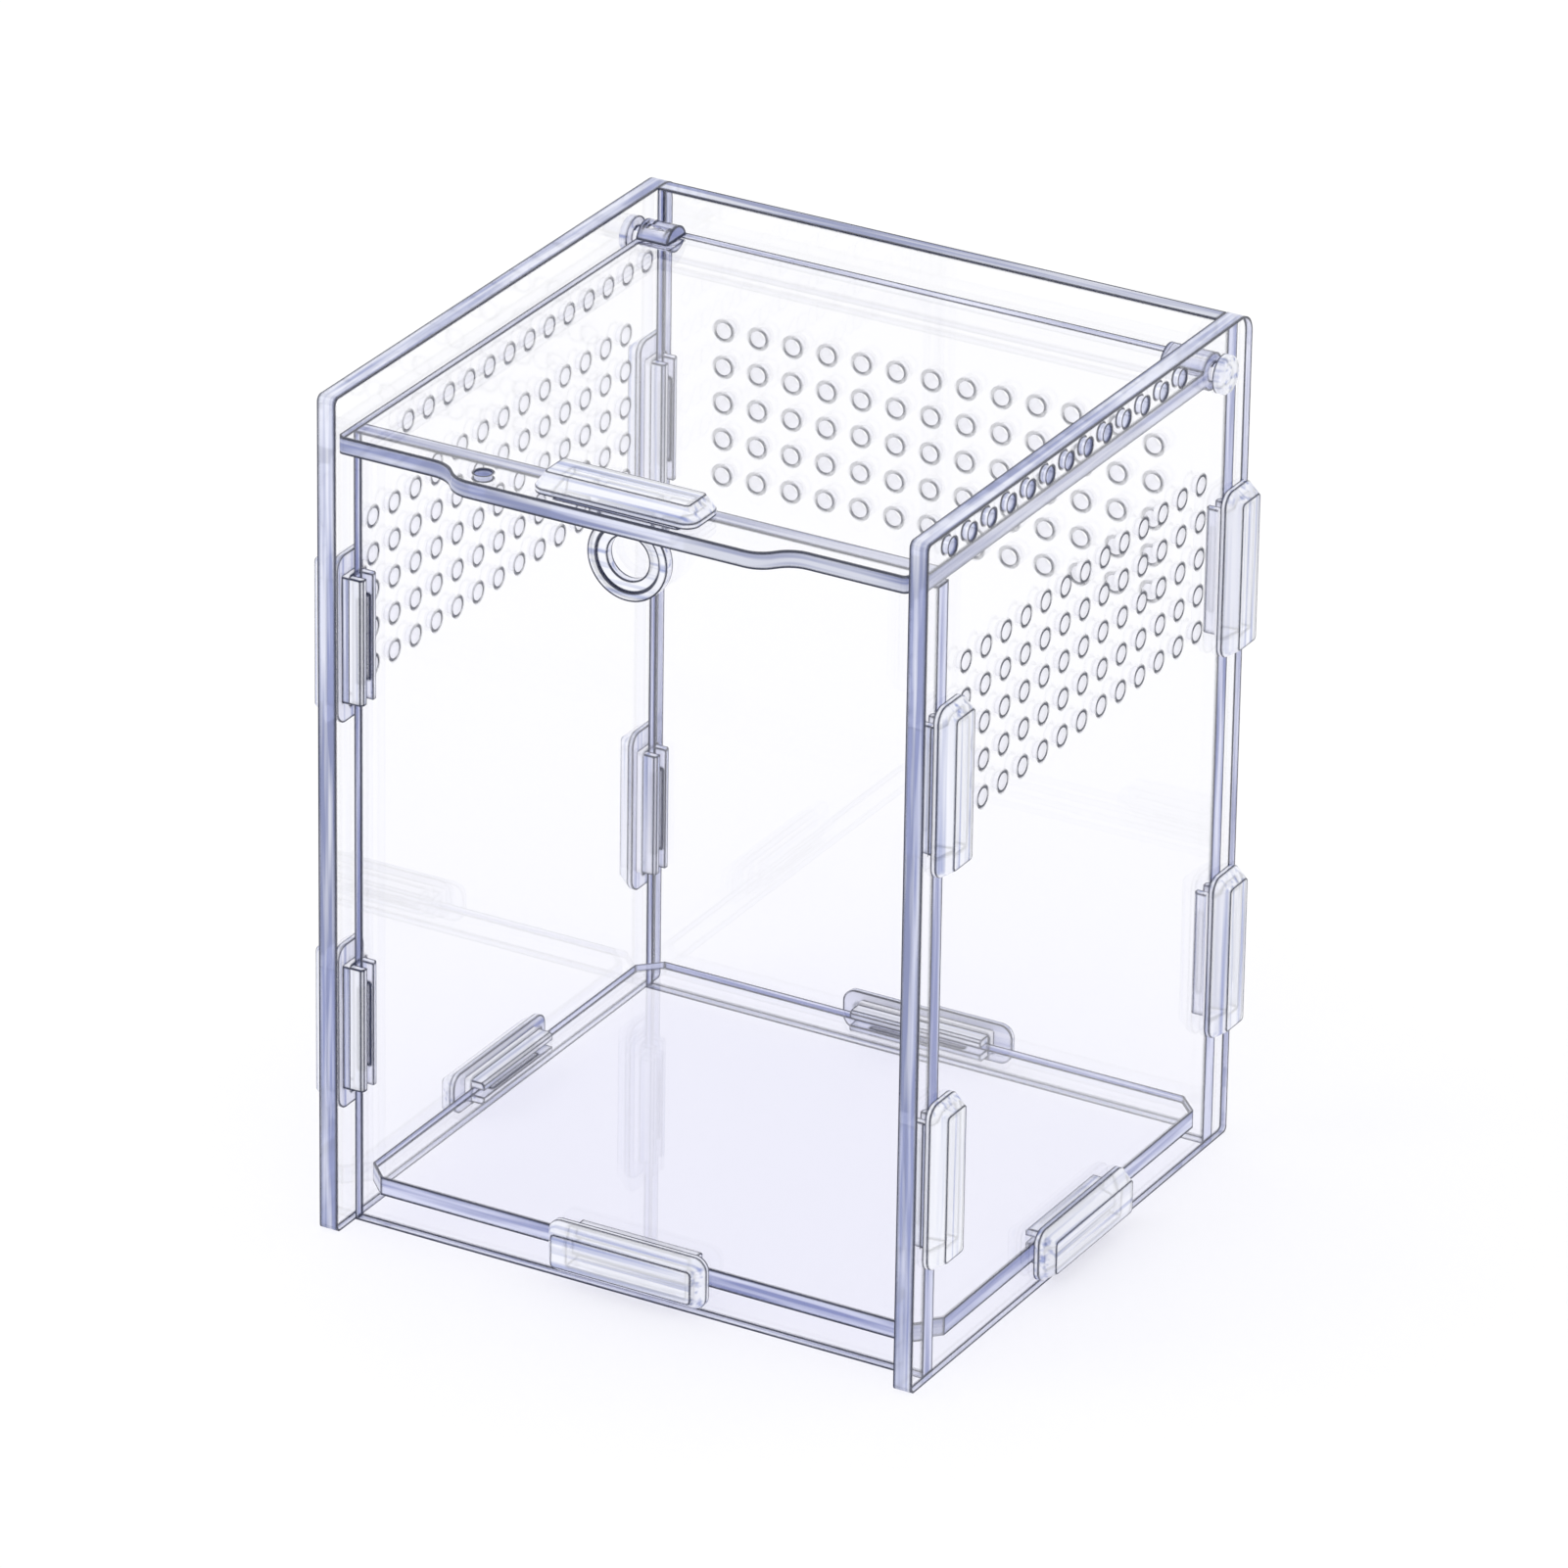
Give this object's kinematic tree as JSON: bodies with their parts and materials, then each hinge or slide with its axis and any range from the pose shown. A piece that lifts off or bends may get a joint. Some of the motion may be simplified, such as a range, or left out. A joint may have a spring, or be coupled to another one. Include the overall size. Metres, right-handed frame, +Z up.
{
  "type": "acrylic reptile enclosure",
  "caption": "Clear flat-pack terrarium box with vented walls, snap clips, a raised floor and a hinged lid with a pull ring.",
  "frame": {"origin": "middle of the footprint's bounding box, on the surface that the walls stand on", "axes": "+Z up along the walls, front with the lid's finger tab towards -Y, +X to the right seen from the front"},
  "size_m": [0.159, 0.152, 0.2015],
  "materials": {
    "clear_panel": "polished clear acrylic sheet",
    "clear_clip": "moulded clear acrylic",
    "clear_fitting": "moulded clear acrylic"
  },
  "bodies": {
    "box": {"left_side_panel": "clear_panel", "right_side_panel": "clear_panel", "front_panel": "clear_panel", "back_panel": "clear_panel", "floor_panel": "clear_panel", "front_left_upper_clip": "clear_clip", "front_left_lower_clip": "clear_clip", "rear_left_upper_clip": "clear_clip", "rear_left_lower_clip": "clear_clip", "front_right_upper_clip": "clear_clip", "front_right_lower_clip": "clear_clip", "rear_right_upper_clip": "clear_clip", "rear_right_lower_clip": "clear_clip", "left_floor_clip": "clear_clip", "right_floor_clip": "clear_clip", "front_floor_clip": "clear_clip", "rear_floor_clip": "clear_clip"},
    "lid": {"lid_panel": "clear_panel", "left_pivot_pin": "clear_fitting", "right_pivot_pin": "clear_fitting", "latch_cap": "clear_fitting", "ring_pin": "clear_fitting"},
    "ring": {"latch_ring": "clear_fitting"}
  },
  "joints": [
    {"name": "lid_hinge", "type": "hinge", "parent": "box", "child": "lid", "pos_m": [0, 0.06105, 0.1918], "axis": [-1, 0, 0], "range_deg": [0, 105]},
    {"name": "ring_swing", "type": "hinge", "parent": "lid", "child": "ring", "pos_m": [0, -0.06525, 0.1866], "axis": [-1, 0, 0], "range_deg": [0, 85]}
  ]
}
